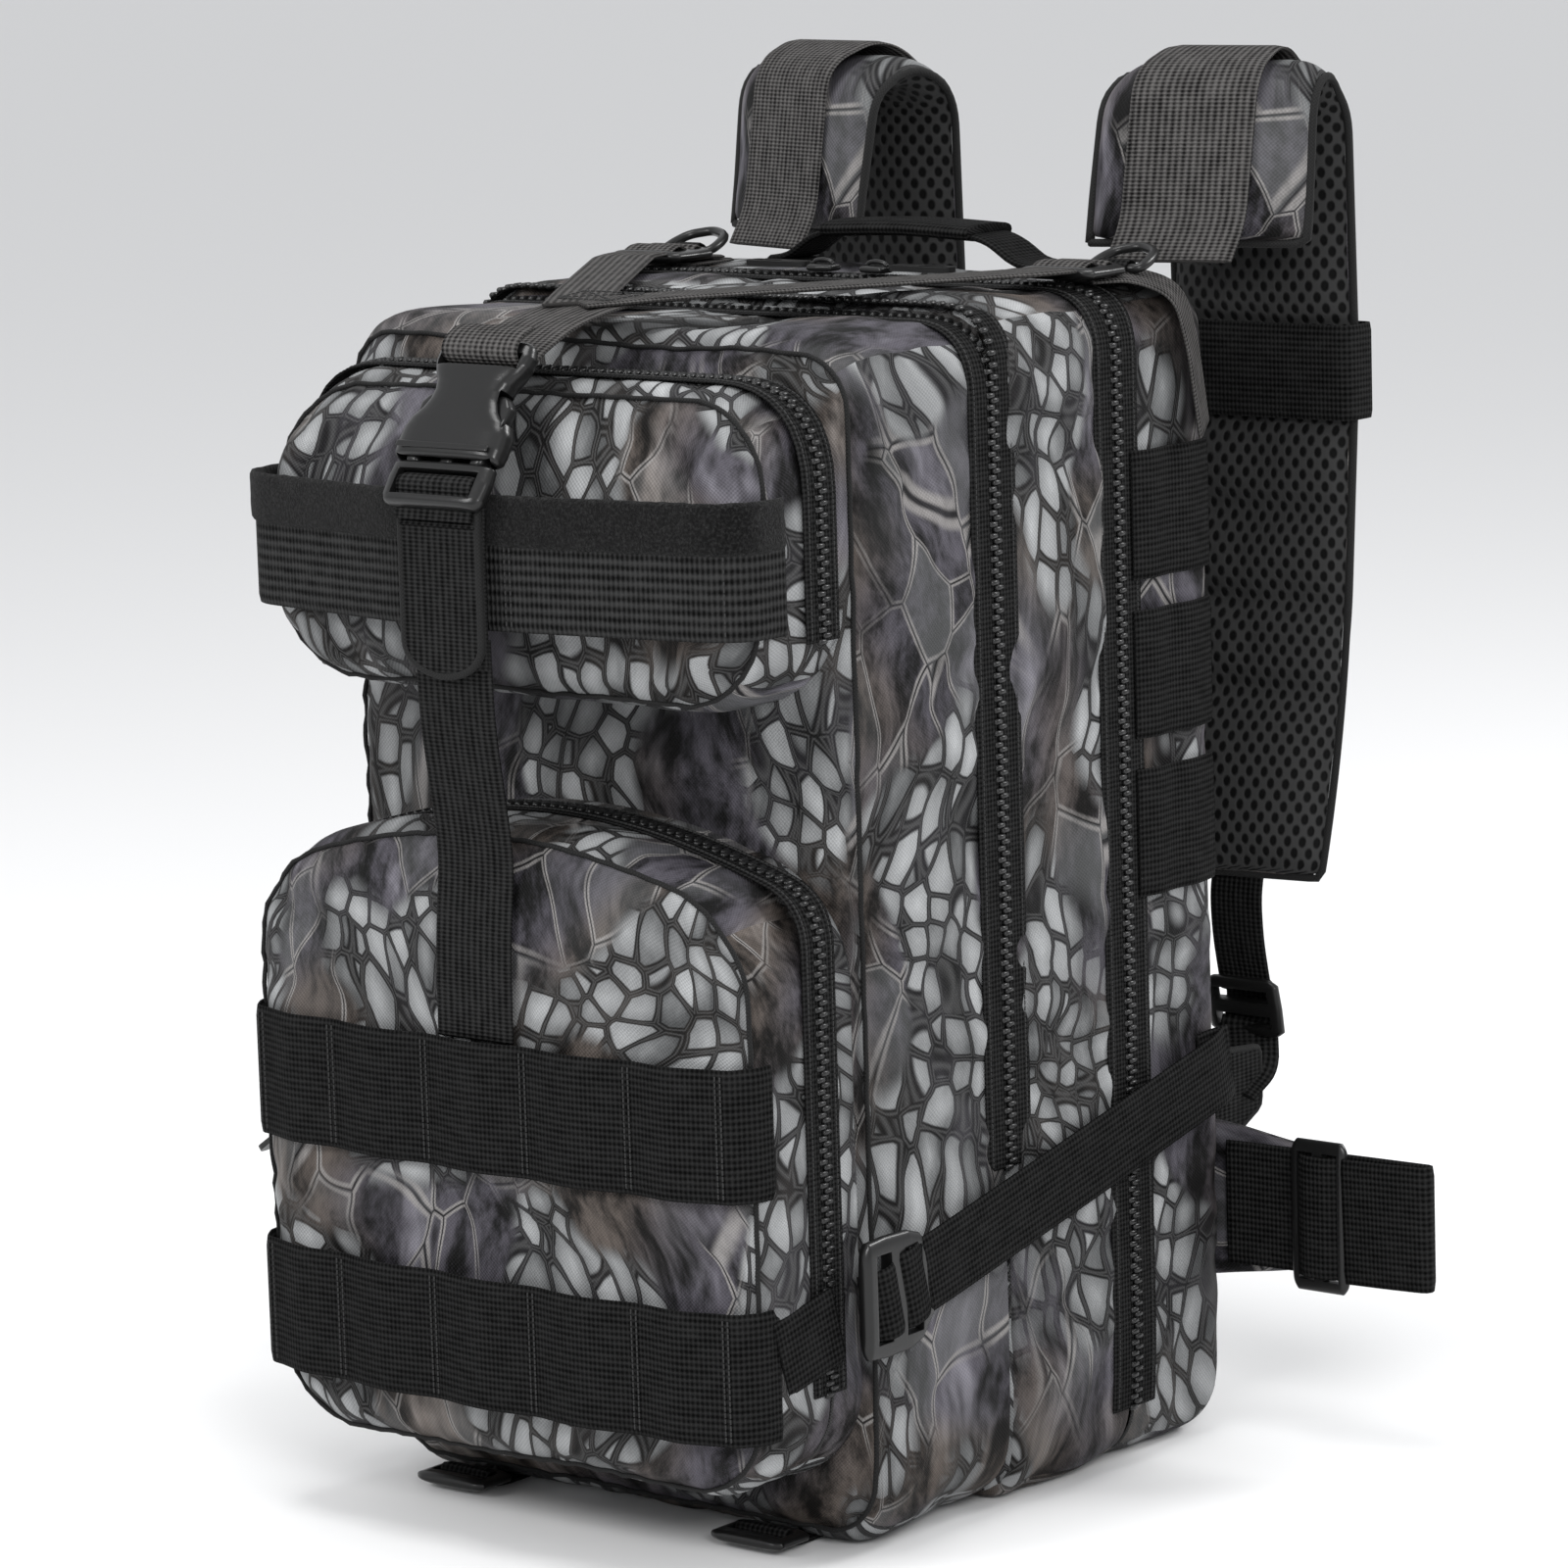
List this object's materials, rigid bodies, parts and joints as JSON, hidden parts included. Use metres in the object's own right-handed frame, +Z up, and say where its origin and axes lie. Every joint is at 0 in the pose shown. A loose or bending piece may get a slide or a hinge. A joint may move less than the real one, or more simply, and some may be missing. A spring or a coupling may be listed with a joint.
{
  "type": "tackle backpack",
  "caption": "Camouflage fishing backpack with clamshell compartments, front pockets, looped webbing rows, compression yoke with buckle, shoulder straps and a waist belt.",
  "frame": {"origin": "on the flat bottom face, in the middle of the bag's width, under the front half of the main compartment", "axes": "+X to the viewer's right when facing the pockets, +Y towards the wearer's back, +Z up"},
  "size_m": [0.448, 0.4017, 0.5478],
  "materials": {
    "camo": "printed oxford weave",
    "zipper": "woven tape and moulded coil",
    "board": "smooth sheet",
    "lining": "plain weave",
    "mesh_foam": "spacer mesh over foam",
    "webbing": "ribbed nylon webbing",
    "grey_webbing": "ribbed nylon webbing",
    "buckle_plastic": "fine moulded satin",
    "zip_metal": "black enamel"
  },
  "bodies": {
    "pack": {"rear_shell": "camo", "back_stiffener": "board", "inner_sleeve": "lining", "back_pads": "mesh_foam", "main_zip_rear": "zipper", "yoke_locks": "buckle_plastic", "top_tabs": "webbing", "side_webbing": "webbing", "side_straps": "webbing", "lower_strap_tabs": "webbing"},
    "carry_handle": {"carry_handle": "webbing"},
    "ring_right": {"d_ring_right": "buckle_plastic"},
    "ring_left": {"d_ring_left": "buckle_plastic"},
    "main_flap": {"middle_shell": "camo", "main_zip_front": "zipper", "second_zip_rear": "zipper"},
    "front_flap": {"front_shell": "camo", "second_zip_front": "zipper", "top_pocket_shell": "camo", "spool_band": "webbing", "center_strap_free": "webbing", "buckle_female": "buckle_plastic", "yoke_webbing": "grey_webbing", "side_buckles": "buckle_plastic", "bottom_straps": "webbing", "bottom_locks": "buckle_plastic"},
    "center_buckle": {"buckle_male": "buckle_plastic", "center_strap_upper": "webbing", "center_strap_tail": "webbing"},
    "lower_pocket": {"lower_pocket_shell": "camo", "molle_row_upper": "webbing", "molle_row_lower": "webbing", "center_strap_sewn": "webbing", "pocket_side_tabs": "webbing"},
    "shoulder_right": {"shoulder_pad_right": "camo", "shoulder_webbing_right": "grey_webbing", "lower_webbing_right": "webbing", "shoulder_adjuster_right": "buckle_plastic"},
    "shoulder_left": {"shoulder_pad_left": "camo", "shoulder_webbing_left": "grey_webbing", "lower_webbing_left": "webbing", "shoulder_adjuster_left": "buckle_plastic"},
    "belt_right": {"belt_wing_right": "webbing", "belt_webbing_right": "webbing"},
    "belt_left": {"belt_wing_left": "webbing", "belt_webbing_left": "webbing"},
    "glide_right": {"belt_glide_right": "buckle_plastic"},
    "glide_left": {"belt_glide_left": "buckle_plastic"},
    "main_slider_right": {"main_slider_right": "zip_metal"},
    "main_slider_left": {"main_slider_left": "zip_metal"},
    "main_pull_right": {"main_pull_right": "zip_metal"},
    "main_pull_left": {"main_pull_left": "zip_metal"},
    "second_slider": {"second_slider": "zip_metal"},
    "second_pull": {"second_pull": "zip_metal"},
    "top_slider": {"top_slider": "zip_metal"},
    "top_pull": {"top_pull": "zip_metal"},
    "lower_slider": {"lower_slider": "zip_metal"},
    "lower_pull": {"lower_pull": "zip_metal"}
  },
  "joints": [
    {"name": "main_flap_open", "type": "hinge", "parent": "pack", "child": "main_flap", "pos_m": [0, 0.038, 0], "axis": [1, 0, 0], "range_deg": [0, 75]},
    {"name": "front_flap_open", "type": "hinge", "parent": "main_flap", "child": "front_flap", "pos_m": [0, -0.04, 0], "axis": [1, 0, 0], "range_deg": [0, 60]},
    {"name": "lower_pocket_open", "type": "hinge", "parent": "front_flap", "child": "lower_pocket", "pos_m": [0, -0.1242, 0.03], "axis": [1, 0, 0], "range_deg": [0, 20]},
    {"name": "center_buckle_release", "type": "slide", "parent": "front_flap", "child": "center_buckle", "axis": [0, -0.5592, -0.829], "range_m": [0, 0.024]},
    {"name": "carry_handle_fold", "type": "hinge", "parent": "pack", "child": "carry_handle", "pos_m": [0, 0.08, 0.467], "axis": [1, 0, 0], "range_deg": [-20, 20]},
    {"name": "ring_right_flip", "type": "hinge", "parent": "pack", "child": "ring_right", "pos_m": [0.108, 0.066, 0.468], "axis": [1, 0, 0], "range_deg": [-15, 110]},
    {"name": "ring_left_flip", "type": "hinge", "parent": "pack", "child": "ring_left", "pos_m": [-0.108, 0.066, 0.468], "axis": [1, 0, 0], "range_deg": [-15, 110]},
    {"name": "shoulder_right_swing", "type": "hinge", "parent": "pack", "child": "shoulder_right", "pos_m": [0.098, 0.107, 0.465], "axis": [-0.0361, -0.1354, 0.9901], "range_deg": [-35, 20]},
    {"name": "belt_right_swing", "type": "hinge", "parent": "pack", "child": "belt_right", "pos_m": [0.1295, 0.1115, 0.093], "axis": [0, 0, 1], "range_deg": [-20, 70]},
    {"name": "glide_right_slide", "type": "slide", "parent": "belt_right", "child": "glide_right", "axis": [-1, 0, 0], "range_m": [0, 0.018]},
    {"name": "main_zip_right_slide", "type": "slide", "parent": "pack", "child": "main_slider_right", "axis": [1, 0, 0], "range_m": [0, 0.03]},
    {"name": "main_pull_right_flip", "type": "hinge", "parent": "main_slider_right", "child": "main_pull_right", "pos_m": [0.021, 0.038, 0.4679], "axis": [0, -1, 0], "range_deg": [0, 120]},
    {"name": "shoulder_left_swing", "type": "hinge", "parent": "pack", "child": "shoulder_left", "pos_m": [-0.098, 0.107, 0.465], "axis": [0.0361, -0.1354, 0.9901], "range_deg": [-20, 35]},
    {"name": "belt_left_swing", "type": "hinge", "parent": "pack", "child": "belt_left", "pos_m": [-0.1295, 0.1115, 0.093], "axis": [0, 0, 1], "range_deg": [-70, 20]},
    {"name": "glide_left_slide", "type": "slide", "parent": "belt_left", "child": "glide_left", "axis": [1, 0, 0], "range_m": [0, 0.018]},
    {"name": "main_zip_left_slide", "type": "slide", "parent": "pack", "child": "main_slider_left", "axis": [-1, 0, 0], "range_m": [0, 0.03]},
    {"name": "main_pull_left_flip", "type": "hinge", "parent": "main_slider_left", "child": "main_pull_left", "pos_m": [-0.021, 0.038, 0.4679], "axis": [0, 1, 0], "range_deg": [0, 120]},
    {"name": "second_zip_slide", "type": "slide", "parent": "main_flap", "child": "second_slider", "axis": [0, 0, -1], "range_m": [0, 0.22]},
    {"name": "second_pull_swing", "type": "hinge", "parent": "second_slider", "child": "second_pull", "pos_m": [-0.1329, -0.04, 0.412], "axis": [0, 1, 0], "range_deg": [0, 120]},
    {"name": "top_zip_slide", "type": "slide", "parent": "front_flap", "child": "top_slider", "axis": [0, 0, 1], "range_m": [0, 0.04]},
    {"name": "top_pull_swing", "type": "hinge", "parent": "top_slider", "child": "top_pull", "pos_m": [-0.1249, -0.136, 0.354], "axis": [0, 1, 0], "range_deg": [0, 120]},
    {"name": "lower_zip_slide", "type": "slide", "parent": "lower_pocket", "child": "lower_slider", "axis": [0, 0, 1], "range_m": [-0.03, 0.07]},
    {"name": "lower_pull_swing", "type": "hinge", "parent": "lower_slider", "child": "lower_pull", "pos_m": [-0.1283, -0.146, 0.153], "axis": [0, 1, 0], "range_deg": [-50, 95]}
  ]
}
